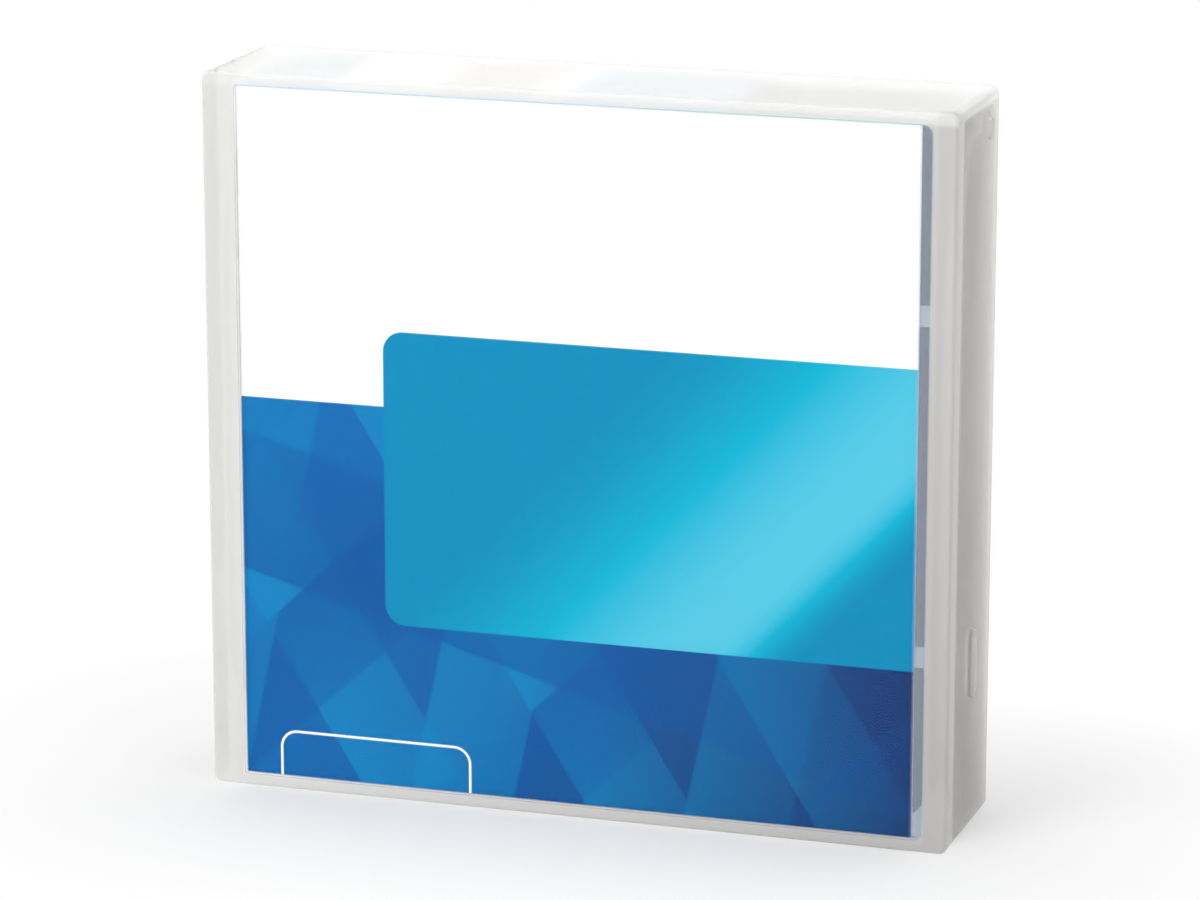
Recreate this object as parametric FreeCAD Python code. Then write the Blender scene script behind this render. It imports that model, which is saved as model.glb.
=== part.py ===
"""Half-inch data tape cartridge, kept in its hinged see-through storage case.

Millimetres. The case stands on its bottom end: +Z up, its front panel faces -Y, and the origin is the
centre of the bottom. The cartridge is modelled lying flat in a frame of its own, with +X its leading end,
+Z its top and the reel's axis through the origin, and seat() then stands it up in the case.
"""
import FreeCAD, Part
import math
import os

Vector = FreeCAD.Vector

# ---- driving dimensions: storage case ----
CASE_WIDTH = 117.8
CASE_DEPTH = 25.5
CASE_HEIGHT = 112.5
CASE_WALL = 1.2
CASE_CORNER_RADIUS = 1.2        # the four corners seen from the front
CASE_EDGE_RADIUS = 0.6          # all other outer edges
CASE_GAP = 0.3                  # lid to base, all round
PIN_SETBACK = 3.8               # hinge axis to the outside of the back panel
PIN_DROP = 4.7                  # hinge axis to the inside of the spine wall
PIN_RADIUS = 1.6
PIN_CLEARANCE = 0.08
PIN_END_GAP = 0.1
RAIL_DEPTH = 2.8                # thick inner corners of the lid, on each side of the card
RAIL_INSET = 3.75               # their inner face, from the side of the case
RAIL_EDGE = 0.5                 # rounding along their inner edge
INNER_WALL_SETBACK = 4.5        # front edge of the base's side walls, from the front of the case
INNER_WALL_CUTBACK = 8.0        # how much further back that edge is at the top and bottom ends
INNER_WALL_LOW = 19.0           # it runs straight between these two heights
INNER_WALL_HIGH = 85.0
INNER_WALL_SLANT = 10.5         # height of the slanted stretch below
CATCH_LENGTH = 9.4              # elongated catch low on each side
CATCH_WIDTH = 2.2
CATCH_SLOT_GAP = 0.7            # the lid's slot round it
CATCH_STAND = 0.22              # how far it stands out of the base's side wall
PIN_BLIND = 0.4                 # left of the lid's wall outside the hinge pin
CATCH_HEIGHT = 25.5             # centre of the catch above the bottom
CATCH_FROM_FRONT = 15.6
REST_HEIGHT = 4.8               # cartridge above the bottom of the case
CART_FROM_RIGHT = 4.4           # cartridge to the outside of the case's right wall
CART_FROM_BACK = 1.6            # cartridge to the outside of the case's back panel
RIB = 1.2                       # thickness of the case's inner ribs
RIB_SETBACK = 1.0               # side ribs, behind the front edge of the base's side walls
FLOOR_RIBS = 5

# ---- driving dimensions: printed card ----
CARD_THICKNESS = 0.25
CARD_WIDTH = 106.9
CARD_FROM_LEFT = 5.3
CARD_FROM_BOTTOM = 1.9
CARD_GAP = 0.05                 # card to the panel and the spine in front of it
CARD_SIDE_GAP = 0.2
FLAP_WIDTH = 77.8
FLAP_DEPTH = 20.5
FOLD_RADIUS = 0.6
TAB_HEIGHT = 3.1                # along the height of the case
TAB_THICKNESS = 0.6
TAB_OVERLAP = 1.6               # over the edge of the card
TAB_LEVELS = (30.0, 82.0)

# ---- driving dimensions: cartridge shells ----
CART_LENGTH = 102.0             # along X, the way it goes into a drive
CART_WIDTH = 105.4
CART_HEIGHT = 21.5
SHELL_WALL = 1.5
SHELL_FLOOR = 1.6
SPLIT_HEIGHT = 10.75            # parting plane above the underside
SHELL_CORNER = 3.0
SHELL_EDGE = 0.8
LABEL_LENGTH = 60.0             # recess for the label on the rear edge
LABEL_HEIGHT = 15.0
LABEL_OFF_CENTRE = 8.0          # towards the door's side
LABEL_DEPTH = 0.5
TOP_BED_WIDTH = 76.0            # shallow bed in the top, towards the rear
TOP_BED_REAR = 5.0              # its rear edge, from the rear of the cartridge
TOP_BED_FRONT = 38.0            # its front edge, from the leading end
TOP_BED_DEPTH = 0.35
ARROW_LENGTH = 7.0              # sunk arrow on the top that shows which end goes in
ARROW_WIDTH = 11.0
ARROW_FROM_END = 14.0
GUIDE_GROOVES = (40.3, 6.1, -4.0, -28.0)   # across the leading margin of the top
GUIDE_LENGTH = 9.0
GUIDE_WIDTH = 0.5
GUIDE_DEPTH = 0.25
PICKER_NOTCH = 4.0              # notch on each side that a library's hand grips
PICKER_DEPTH = 0.9
PICKER_FROM_END = 33.0
PICKER_HEIGHT = 13.5
DATUM_RADIUS = 2.5              # round and long recess in the underside that place it in a drive
DATUM_DEPTH = 0.9
DATUM_SLOT = 3.0
DATUM_FROM_END = 13.0
DATUM_FROM_SIDES = 20.7
GUARD_WALL = 0.9                # curved inner walls round the reel
GUARD_GAP = 0.8
GUARD_FROM = 32.0               # degrees from the side of the cartridge
GUARD_SWEEP = 26.0
GUARD_DROP = 2.0                # their top, below the parting plane
GRIP_GROOVES = 7                # on each side near the rear
GRIP_FROM_REAR = 12.0
GRIP_PITCH = 3.0
GRIP_DEPTH = 0.5
GRIP_END = 3.0                  # groove's end, from the top and underside
BOSS_RADIUS = 2.8
SCREW_RADIUS = 1.1
SCREW_HEAD_RADIUS = 2.0
SCREW_HEAD_HEIGHT = 1.3
SCREW_RECESS = 1.2               # head below the cartridge's underside
SCREW_CLEARANCE = 0.1
SCREW_LENGTH = 12.0
SCREW_CROSS = 1.3               # half width of the cross recess in the head
SCREW_CROSS_SLOT = 0.6
SCREW_HEAD_GAP = 0.2
SCREW_FROM_ENDS = 5.5           # corner screws, from the leading end and the rear
SCREW_FROM_SIDES = 5.7
PORT_SCREW_FROM_END = 3.7       # the screw beside the leader pin's corner
PORT_SCREW_FROM_SIDE = 28.2

# ---- driving dimensions: reel ----
FLANGE_GAP = 1.2                # reel's flanges to the walls at both ends of the cartridge
PACK_INSET = 1.9                # full pack of tape, inside the flanges' rim
HUB_OPENING_RADIUS = 17.4       # hole in the lower shell
OPENING_RIM = 2.0               # raised ring round it
FLANGE_THICKNESS = 1.1
WINDOWS = 3                     # in the upper flange
WINDOW_SWEEP = 21.0             # degrees
WINDOW_RIM = 5.0                # left at the flange's rim
WINDOW_FROM_HUB = 3.0
HUB_RADIUS = 22.5
HUB_BORE_RADIUS = 19.4
HUB_FLOOR = 2.2
HUB_LIFT = 1.9                  # underside of the hub's floor above the cartridge's underside
FLANGE_FIT = 0.05               # flanges to the tape's edges
TAPE_WIDTH = 12.65
TAPE_THICKNESS = 0.2            # free end of the tape
TEETH = 60
DRIVE_TOOTH_IN = 12.6
DRIVE_TOOTH_OUT = 15.6
DRIVE_TOOTH_HEIGHT = 1.2
PLATE_RADIUS = 11.6
PLATE_THICKNESS = 0.8
PLATE_BORE = 3.0
PLATE_FIT = 0.05
PLATE_CHAMFER = 0.2
TOOTH_SINK = 0.01               # root of each tooth in the moulding it grows from

# ---- driving dimensions: brake ----
STOP_TOOTH_IN = 16.3
STOP_TOOTH_INSET = 0.8          # outer ends of the teeth, from the hub's bore
STOP_TOOTH_HEIGHT = 1.2
TOOTH_CLEARANCE = 0.16
TOOTH_SIDE_GAP = 0.2
TOOTH_ROOT = 0.62               # width of a tooth at its root, as a share of the pitch
TOOTH_SLOPE = 0.28               # flank's lean, a ratio
BRAKE_THICKNESS = 1.6
BRAKE_BOSS_RADIUS = 4.6
BRAKE_BOSS_HEIGHT = 6.0
POST_REACH = 2.6                # half width of the cross-shaped post
POST_RIB = 1.4
SOCKET_GAP = 0.25               # brake's socket round the post
NOSE_RADIUS = 3.0               # low boss that presses on the release pad
NOSE_TIP_RADIUS = 2.0
BRAKE_LIFT = 1.9                # travel that frees the reel
SEAT_WALL = 1.0                 # ring on the ceiling that the spring's end sits in
SEAT_DEPTH = 1.0
SPRING_WIRE = 0.6
SPRING_COILS = 5
SPRING_GAP = 0.5                # spring to the brake's boss
COIL_STEPS = 9                  # facets to one turn of a coil spring
WIRE_SIDES = 4
LEG_CIRCLE = 14.1
LEG_RADIUS = 1.2
LEGS = 3
PAD_THICKNESS = 1.0
PAD_LIFT = 0.1                  # pad above the hub's floor
PAD_RADIUS = 6.0
LEG_HOLE_GAP = 0.3

# ---- driving dimensions: leader corner, door and small parts ----
LEADER_FROM_END = 8.0
LEADER_FROM_SIDE = 8.9
LEADER_RADIUS = 1.25
LEADER_END_RADIUS = 2.2
LEADER_LENGTH = 16.6
LEADER_END = 1.0                # thickness of its end discs
CUP_WALL = 1.2                  # half-open cup for each end of the pin
CUP_GAP = 0.1
CUP_OPEN_FROM = 0.8             # its open side, from the pin's axis
CLIP_WALL = 0.7
CLIP_MOUTH = 0.75               # half width of the slit that the tape goes in by
CLIP_END_GAP = 0.3              # sleeve short of the tape's edges
PIN_WIRE_RADIUS = 0.35          # bent wires that hold the pin
PIN_WIRE_ARM = 11.0
PIN_WIRE_LEG = 5.0
PIN_WIRE_CORNER = 6.5           # from the pin's axis, towards the rear
DOOR_LENGTH = 21.0
DOOR_THICKNESS = 1.2
DOOR_TRAVEL = 17.0
DOOR_SPRING_RADIUS = 0.8
DOOR_SPRING_WIRE = 0.3
DOOR_SPRING_COILS = 11
DOOR_FROM_END = 2.5             # closed door, from the leading end
DOOR_SPRING_LENGTH = 39.5
SPRING_STOP = 1.5               # post that the spring pushes from
DOOR_LAP = 1.2                  # door past its window, all round
DOOR_RAIL = 1.0                 # thickness of the ribs that it runs behind
LIP_THICKNESS = 1.2             # lip in the window that a drive pulls
LIP_FROM_EDGE = 1.6
LIP_HEIGHT = 9.7
RUNNING_GAP = 0.3
TOUCH = 0.02                    # left between pieces that press on each other
TAB_WINDOW_LENGTH = 10.0        # write-protect window, along the rear edge
TAB_WINDOW_HEIGHT = 5.0
TAB_SLIDER_LENGTH = 6.2
TAB_FOOT = 1.2                  # foot behind the wall, past the window on three sides
TAB_FOOT_THICKNESS = 1.0
TAB_RIDGE = 1.2
TAB_FROM_SIDE = 16.7            # middle of that window, from the side of the cartridge
CHIP_LENGTH = 15.0
CHIP_WIDTH = 12.0
CHIP_THICKNESS = 0.9
CHIP_PAST_REEL = 4.6            # middle of the board, from the flange's rim
CHIP_POST = 1.2                 # half width of the two slotted posts
CHIP_POST_DEPTH = 1.4
CHIP_FIT = 0.05

# ---- places that follow from them ----
LEFT = -CASE_WIDTH / 2
RIGHT = CASE_WIDTH / 2
FRONT = -CASE_DEPTH / 2
BACK = CASE_DEPTH / 2
SPINE = CASE_HEIGHT - CASE_WALL                    # inside of the spine wall
PIN_Y = BACK - PIN_SETBACK
PIN_Z = SPINE - PIN_DROP
SPINE_SWING = PIN_DROP - CARD_THICKNESS - CARD_GAP - CASE_GAP   # inside it, a piece clears the spine
INNER_HALF = CASE_WIDTH / 2 - CASE_WALL - CASE_GAP   # outside of the base's side walls
CART_RIGHT = RIGHT - CART_FROM_RIGHT
RAIL_BOTTOM = CASE_WALL + CASE_GAP
CART_X = CART_RIGHT - CART_LENGTH / 2
CART_Z = REST_HEIGHT + CART_WIDTH / 2
CART_BACK = BACK - CART_FROM_BACK
END_X = CART_LENGTH / 2                            # leading end, in the cartridge's own frame
SIDE_Y = CART_WIDTH / 2
SCREW_PLACES = (
    (SCREW_FROM_ENDS - END_X, SCREW_FROM_SIDES - SIDE_Y),
    (SCREW_FROM_ENDS - END_X, SIDE_Y - SCREW_FROM_SIDES),
    (END_X - SCREW_FROM_ENDS, SIDE_Y - SCREW_FROM_SIDES),
    (END_X - PORT_SCREW_FROM_END, PORT_SCREW_FROM_SIDE - SIDE_Y),
)
LEADER_X = END_X - LEADER_FROM_END
LEADER_Y = LEADER_FROM_SIDE - SIDE_Y
DOOR_END_X = END_X - DOOR_FROM_END
DOOR_SPRING_END = DOOR_END_X - DOOR_LENGTH - DOOR_SPRING_LENGTH
DOOR_Y = SHELL_WALL + RUNNING_GAP - SIDE_Y         # the door's outer face
DATUM_X = END_X - DATUM_FROM_END
DATUM_Y = SIDE_Y - DATUM_FROM_SIDES
TAB_Y = SIDE_Y - TAB_FROM_SIDE
FLANGE_RADIUS = END_X - SHELL_WALL - FLANGE_GAP
PACK_RADIUS = FLANGE_RADIUS - PACK_INSET
HUB_FLOOR_TOP = HUB_LIFT + HUB_FLOOR
FLANGE_TOP = HUB_FLOOR_TOP
PACK_BOTTOM = FLANGE_TOP + FLANGE_FIT
PACK_TOP = PACK_BOTTOM + TAPE_WIDTH
HUB_TOP = PACK_TOP + FLANGE_FIT
CEILING = CART_HEIGHT - SHELL_FLOOR
STOP_TOOTH_OUT = HUB_BORE_RADIUS - STOP_TOOTH_INSET
PAD_BOTTOM = HUB_FLOOR_TOP + PAD_LIFT
PAD_TOP = PAD_BOTTOM + PAD_THICKNESS
BRAKE_BOTTOM = PAD_TOP + RUNNING_GAP
BRAKE_TOP = BRAKE_BOTTOM + BRAKE_THICKNESS
SPRING_RADIUS = BRAKE_BOSS_RADIUS + SPRING_GAP + SPRING_WIRE / 2
SPRING_SEAT_RADIUS = SPRING_RADIUS + SPRING_WIRE / 2 + RUNNING_GAP


# ---- small tools ----
def box(x0, x1, y0, y1, z0, z1):
    """A block between its lowest and highest corners."""
    return Part.makeBox(x1 - x0, y1 - y0, z1 - z0, Vector(x0, y0, z0))


def rod(x, y, z, radius, length, axis=Vector(0, 0, 1)):
    """A cylinder that starts at the given point."""
    return Part.makeCylinder(radius, length, Vector(x, y, z), axis)


def ring(inner, outer, z0, z1):
    """A flat ring about the Z axis."""
    return rod(0, 0, z0, outer, z1 - z0).cut(rod(0, 0, z0 - 1, inner, z1 - z0 + 2))


def sector(radius, z0, height, sweep):
    """A slice of a cylinder about the Z axis, from +X on through the sweep in degrees."""
    return Part.makeCylinder(radius, height, Vector(0, 0, z0), Vector(0, 0, 1), sweep)


def extrude(points, direction):
    """A straight prism on a closed polygon."""
    return Part.Face(Part.makePolygon(points + [points[0]])).extrude(direction)


def side_profile(points, x0, x1):
    """A prism along X on (y, z) points."""
    return extrude([Vector(x0, y, z) for y, z in points], Vector(x1 - x0, 0, 0))


def join(shapes):
    """All the shapes as one solid, with its flush faces merged."""
    return shapes[0].fuse(shapes[1:]).removeSplitter()


def edges_where(shape, test):
    """The edges whose every vertex passes the test."""
    return [e for e in shape.Edges if all(test(v.Point) for v in e.Vertexes)]


def near(a, b):
    """Whether two lengths are the same."""
    return abs(a - b) < 1e-4


def upright_edges(shape):
    """The straight edges that run along Z."""
    return [e for e in shape.Edges if near(e.BoundBox.XLength, 0) and near(e.BoundBox.YLength, 0)]


def rounded_block(x0, x1, y0, y1, z0, z1, radius):
    """A block with its upright edges rounded."""
    shape = box(x0, x1, y0, y1, z0, z1)
    return shape.makeFillet(radius, upright_edges(shape))


def turned(shape, angle):
    """A copy turned about the Z axis."""
    copy = shape.copy()
    copy.rotate(Vector(0, 0, 0), Vector(0, 0, 1), angle)
    return copy


def mirrored(shape):
    """The other side's copy, across the case's middle."""
    return shape.mirror(Vector(0, 0, 0), Vector(1, 0, 0))


def seat(shape):
    """Stand a piece of the cartridge up in the case, its top towards the front."""
    copy = shape.copy()
    copy.rotate(Vector(0, 0, 0), Vector(1, 0, 0), 90)
    copy.translate(Vector(CART_X, CART_BACK, CART_Z))
    return copy


# ---- storage case ----
def rounded_case():
    """The case's outer form: round corners in the front view, and soft edges."""
    shape = box(LEFT, RIGHT, FRONT, BACK, 0, CASE_HEIGHT)
    corners = [e for e in shape.Edges if near(e.BoundBox.YLength, CASE_DEPTH)]
    shape = shape.makeFillet(CASE_CORNER_RADIUS, corners)
    rims = edges_where(shape, lambda p: near(p.y, FRONT)) + edges_where(shape, lambda p: near(p.y, BACK))
    return shape.makeFillet(CASE_EDGE_RADIUS, rims)


def catch_slot(x0, x1, clearance):
    """The elongated catch's outline, round at both ends, extruded across the wall."""
    radius = CATCH_WIDTH / 2 + clearance
    half = (CATCH_LENGTH - CATCH_WIDTH) / 2
    y = FRONT + CATCH_FROM_FRONT
    low = rod(x0, y, CATCH_HEIGHT - half, radius, x1 - x0, Vector(1, 0, 0))
    high = rod(x0, y, CATCH_HEIGHT + half, radius, x1 - x0, Vector(1, 0, 0))
    middle = box(x0, x1, y - radius, y + radius, CATCH_HEIGHT - half, CATCH_HEIGHT + half)
    return join([low, high, middle])


def card_rails():
    """The lid's thick inner corners beside the card, round at their ends."""
    y0 = FRONT + CASE_WALL / 2
    y1 = FRONT + CASE_WALL + RAIL_DEPTH
    rail = box(RIGHT - RAIL_INSET, RIGHT - CASE_WALL / 2, y0, y1, RAIL_BOTTOM, SPINE)
    inner = RIGHT - RAIL_INSET
    long_edge = edges_where(rail, lambda p: near(p.x, inner) and near(p.y, y1))
    rail = rail.makeFillet(RAIL_EDGE, long_edge)
    return [rail, mirrored(rail)]


def card_tabs():
    """Four tabs on the lid's rails that hold the card against the front panel."""
    y0 = FRONT + CASE_WALL + CARD_THICKNESS + 2 * CARD_GAP
    card_left = LEFT + CARD_FROM_LEFT
    card_right = card_left + CARD_WIDTH
    tabs = []
    for level in TAB_LEVELS:
        z0 = level - TAB_HEIGHT / 2
        z1 = level + TAB_HEIGHT / 2
        tabs.append(box(LEFT + CASE_WALL, card_left + TAB_OVERLAP, y0, y0 + TAB_THICKNESS, z0, z1))
        tabs.append(box(card_right - TAB_OVERLAP, RIGHT - CASE_WALL, y0, y0 + TAB_THICKNESS, z0, z1))
    return tabs


def card_slits():
    """The room for the card's side edges in front of the rails."""
    y0 = FRONT + CASE_WALL
    y1 = y0 + CARD_THICKNESS + 2 * CARD_GAP
    side = CARD_SIDE_GAP
    x0 = LEFT + CARD_FROM_LEFT - side
    return box(x0, x0 + CARD_WIDTH + 2 * side, y0, y1, -1, SPINE)


def case_lid():
    """Front panel, spine wall and side walls in one moulding, with rails, card tabs and hinge sockets."""
    outer = rounded_case()
    hollow = box(LEFT + CASE_WALL, RIGHT - CASE_WALL, FRONT + CASE_WALL, BACK + 1, -1, SPINE)
    shell = join([outer.cut(hollow)] + card_rails() + card_tabs())
    radius = PIN_RADIUS + PIN_CLEARANCE
    socket = rod(LEFT + PIN_BLIND, PIN_Y, PIN_Z, radius, CASE_WIDTH - 2 * PIN_BLIND, Vector(1, 0, 0))
    slot = catch_slot(LEFT - 1, RIGHT + 1, CATCH_SLOT_GAP)
    return shell.cut([socket, slot, card_slits()])


def inner_side_wall():
    """The base's right side wall, its front edge drawn back at both ends to leave the corners free."""
    front = FRONT + INNER_WALL_SETBACK
    back_off = front + INNER_WALL_CUTBACK
    top = PIN_Z + PIN_RADIUS + CASE_WALL
    points = [
        (BACK, 0),
        (BACK, PIN_Z),
        (PIN_Y, top),
        (PIN_Y - 2 * PIN_RADIUS, top),
        (back_off, top - PIN_RADIUS),
        (front, INNER_WALL_HIGH),
        (front, INNER_WALL_LOW),
        (back_off, INNER_WALL_LOW - INNER_WALL_SLANT),
        (back_off, 0),
    ]
    return side_profile(points, INNER_HALF - CASE_WALL, INNER_HALF)


def base_ribs():
    """Ribs that the cartridge stands on, leans on and is kept in place by."""
    rib_front = FRONT + INNER_WALL_SETBACK
    pitch = CART_LENGTH / FLOOR_RIBS
    floor = [CART_X + (n - (FLOOR_RIBS - 1) / 2) * pitch for n in range(FLOOR_RIBS)]
    ribs = [
        box(x - RIB / 2, x + RIB / 2, rib_front, BACK - CASE_WALL, CASE_WALL, REST_HEIGHT)
        for x in floor
    ]
    wall = INNER_HALF - CASE_WALL
    cart_left = CART_RIGHT - CART_LENGTH
    for z in TAB_LEVELS:
        y0 = rib_front + RIB_SETBACK
        z0 = z - RIB / 2
        z1 = z + RIB / 2
        ribs.append(box(-wall, cart_left - CASE_GAP, y0, BACK - CASE_WALL, z0, z1))
        ribs.append(box(CART_RIGHT + CASE_GAP, wall, y0, BACK - CASE_WALL, z0, z1))
    pad_depth = CART_FROM_BACK - CASE_WALL
    for x in (floor[0], floor[-1]):
        ribs.append(box(x - RIB / 2, x + RIB / 2, BACK - CASE_WALL - pad_depth, BACK - CASE_WALL,
                        REST_HEIGHT, CART_Z + CART_WIDTH / 4))
    return ribs


def case_base():
    """Back panel, bottom wall, inner side walls and hinge pins in one moulding."""
    outer = rounded_case()
    back_panel = outer.common(box(-INNER_HALF, INNER_HALF, BACK - CASE_WALL, BACK + 1, -1, CASE_HEIGHT))
    swing = rod(LEFT - 1, PIN_Y, PIN_Z, SPINE_SWING, CASE_WIDTH + 2, Vector(1, 0, 0))
    below = box(LEFT - 1, RIGHT + 1, FRONT - 1, BACK + 1, -1, PIN_Z)
    clear = join([swing, below])
    back_panel = back_panel.common(clear)
    floor_front = FRONT + CASE_WALL + CASE_GAP
    floor = box(-INNER_HALF, INNER_HALF, floor_front, BACK, 0, CASE_WALL).common(outer)
    side = inner_side_wall().common(outer).common(clear)
    catch = catch_slot(INNER_HALF - CASE_WALL / 2, INNER_HALF + CATCH_STAND, 0)
    pin_length = RIGHT - PIN_BLIND - PIN_END_GAP - INNER_HALF + CASE_WALL
    pin = rod(INNER_HALF - CASE_WALL, PIN_Y, PIN_Z, PIN_RADIUS, pin_length, Vector(1, 0, 0))
    right = join([side, catch, pin])
    return join([back_panel, floor, right, mirrored(right)] + base_ribs())


def insert_card():
    """One folded sheet: a front panel and a narrower flap that lies under the spine wall."""
    x0 = LEFT + CARD_FROM_LEFT
    y0 = FRONT + CASE_WALL + CARD_GAP
    z1 = SPINE - CARD_GAP
    front = box(x0, x0 + CARD_WIDTH, y0, y0 + CARD_THICKNESS, CARD_FROM_BOTTOM, z1 - FOLD_RADIUS)
    flap_y = y0 + FOLD_RADIUS
    flap = box(x0, x0 + FLAP_WIDTH, flap_y, flap_y + FLAP_DEPTH, z1 - CARD_THICKNESS, z1)
    bend = rod(x0, flap_y, z1 - FOLD_RADIUS, FOLD_RADIUS, FLAP_WIDTH, Vector(1, 0, 0))
    inside = rod(x0 - 1, flap_y, z1 - FOLD_RADIUS, FOLD_RADIUS - CARD_THICKNESS, FLAP_WIDTH + 2,
                 Vector(1, 0, 0))
    quarter = box(x0, x0 + FLAP_WIDTH, y0, flap_y, z1 - FOLD_RADIUS, z1)
    return join([front, flap, bend.cut(inside).common(quarter)])


# ---- cartridge shells ----
def cartridge_block():
    """The cartridge's outer form, lying flat."""
    shape = box(-END_X, END_X, -SIDE_Y, SIDE_Y, 0, CART_HEIGHT)
    shape = shape.makeFillet(SHELL_CORNER, upright_edges(shape))
    rims = edges_where(shape, lambda p: near(p.z, 0)) + edges_where(shape, lambda p: near(p.z, CART_HEIGHT))
    return shape.makeChamfer(SHELL_EDGE, rims)


def door_window():
    """The opening on the side near the leading end that the door covers."""
    x1 = DOOR_END_X - DOOR_LAP
    x0 = DOOR_END_X - DOOR_LENGTH + DOOR_LAP
    low = SHELL_FLOOR + DOOR_LAP
    return box(x0, x1, -SIDE_Y - 1, SHELL_WALL + TOUCH - SIDE_Y, low, CEILING - DOOR_LAP)


def tab_window():
    """The opening at the rear edge for the write-protect slider."""
    x = -END_X
    half = TAB_WINDOW_LENGTH / 2
    height = TAB_WINDOW_HEIGHT / 2
    return box(x - 1, x + SHELL_WALL + TOUCH, TAB_Y - half, TAB_Y + half,
               SPLIT_HEIGHT - height, SPLIT_HEIGHT + height)


def grip_grooves():
    """Fine upright grooves on both sides near the rear, where fingers hold the cartridge."""
    grooves = []
    for side in (-1, 1):
        for n in range(GRIP_GROOVES):
            x = GRIP_FROM_REAR - END_X + n * GRIP_PITCH
            y = side * SIDE_Y
            grooves.append(box(x, x + GRIP_PITCH / 2, y - GRIP_DEPTH, y + GRIP_DEPTH,
                               GRIP_END, CART_HEIGHT - GRIP_END))
    return grooves


def label_recess():
    """The shallow bed for a label on the rear edge."""
    y0 = -LABEL_OFF_CENTRE - LABEL_LENGTH / 2
    z0 = (CART_HEIGHT - LABEL_HEIGHT) / 2
    return box(-END_X - 1, LABEL_DEPTH - END_X, y0, y0 + LABEL_LENGTH, z0, z0 + LABEL_HEIGHT)


def inner_room():
    """The hollow of the closed cartridge."""
    x = END_X - SHELL_WALL
    y = SIDE_Y - SHELL_WALL
    shape = box(-x, x, -y, y, SHELL_FLOOR, CEILING)
    return shape.makeFillet(SHELL_CORNER - SHELL_WALL, upright_edges(shape))


def top_marks():
    """What is sunk into the top: the label bed, the arrow and the grooves at the leading margin."""
    half = TOP_BED_WIDTH / 2
    top = CART_HEIGHT
    z = top - TOP_BED_DEPTH
    bed = rounded_block(TOP_BED_REAR - END_X, END_X - TOP_BED_FRONT, -half, half, z, top + 1, SHELL_CORNER)
    tip = END_X - ARROW_FROM_END
    base = tip - ARROW_LENGTH
    corners = [Vector(base, -ARROW_WIDTH / 2, z), Vector(tip, 0, z), Vector(base, ARROW_WIDTH / 2, z)]
    marks = [bed, extrude(corners, Vector(0, 0, 1))]
    for y in GUIDE_GROOVES:
        marks.append(box(END_X - GUIDE_LENGTH, END_X + 1, y - GUIDE_WIDTH / 2, y + GUIDE_WIDTH / 2,
                         top - GUIDE_DEPTH, top + 1))
    return marks


def side_notches():
    """The notches on both sides near the leading end."""
    x1 = END_X - PICKER_FROM_END
    x0 = x1 - PICKER_NOTCH
    y = SIDE_Y
    low = (CART_HEIGHT - PICKER_HEIGHT) / 2
    high = low + PICKER_HEIGHT
    return [
        box(x0, x1, y - PICKER_DEPTH, y + 1, low, high),
        box(x0, x1, -y - 1, -y + PICKER_DEPTH, low, high),
    ]


def datum_recesses():
    """The round and the long recess in the underside."""
    low = -1
    height = DATUM_DEPTH + 1
    half = DATUM_SLOT / 2
    long_sides = box(DATUM_X - half, DATUM_X + half, -DATUM_Y - DATUM_RADIUS, -DATUM_Y + DATUM_RADIUS,
                     low, low + height)
    slot_ends = [rod(DATUM_X + side * half, -DATUM_Y, low, DATUM_RADIUS, height) for side in (-1, 1)]
    return [rod(DATUM_X, DATUM_Y, low, DATUM_RADIUS, height), join([long_sides] + slot_ends)]


def reel_guards(z0, z1):
    """Curved walls round the reel in the corners away from the leader pin."""
    inner = FLANGE_RADIUS + GUARD_GAP
    wide = sector(inner + GUARD_WALL, z0, z1 - z0, GUARD_SWEEP)
    wall = wide.cut(rod(0, 0, z0 - 1, inner, z1 - z0 + 2))
    return [turned(wall, GUARD_FROM + corner) for corner in (0, 90, 180)]


def shell_half(z0, z1):
    """The walls of the cartridge between two heights."""
    x = END_X + 1
    y = SIDE_Y + 1
    hollows = [inner_room(), door_window(), tab_window(), label_recess()]
    walls = cartridge_block().cut(hollows + grip_grooves() + side_notches())
    return walls.common(box(-x, x, -y, y, z0, z1))


def door_rail(z0, z1):
    """The rib that, with the side wall, makes the groove the door runs in."""
    y = DOOR_Y + DOOR_THICKNESS + RUNNING_GAP
    x0 = DOOR_END_X - DOOR_LENGTH - DOOR_TRAVEL
    return box(x0, DOOR_END_X, y, y + DOOR_RAIL, z0, z1)


def spring_stop(z0, z1):
    """The post on the side wall that the door's spring pushes from."""
    y1 = DOOR_Y + 2 * DOOR_SPRING_RADIUS + DOOR_SPRING_WIRE
    return box(DOOR_SPRING_END - SPRING_STOP, DOOR_SPRING_END, SHELL_WALL / 2 - SIDE_Y, y1, z0, z1)


def pin_cup(z0, z1):
    """A half-open cup that one end of the leader pin sits in."""
    reach = LEADER_END_RADIUS + CUP_WALL
    outer = rod(LEADER_X, LEADER_Y, z0, reach, z1 - z0)
    hole = rod(LEADER_X, LEADER_Y, z0 - 1, LEADER_END_RADIUS + CUP_GAP, z1 - z0 + 2)
    open_side = box(LEADER_X - reach, LEADER_X + reach, LEADER_Y - reach, LEADER_Y - CUP_OPEN_FROM,
                    z0 - 1, z1 + 1)
    return outer.cut([hole, open_side])


def chip_slots(z0, z1):
    """Two posts in the rear corner with a slit for the memory chip's board."""
    half = CHIP_LENGTH / 2
    slot = CHIP_THICKNESS / 2 + CHIP_FIT
    slit = box(-half, half, -slot, slot, z0 - 1, z1 + 1)
    posts = []
    for x in (-half, half):
        post = box(x - CHIP_POST, x + CHIP_POST, -CHIP_POST_DEPTH, CHIP_POST_DEPTH, z0, z1)
        posts.append(across_corner(post.cut(slit)))
    return posts


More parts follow.
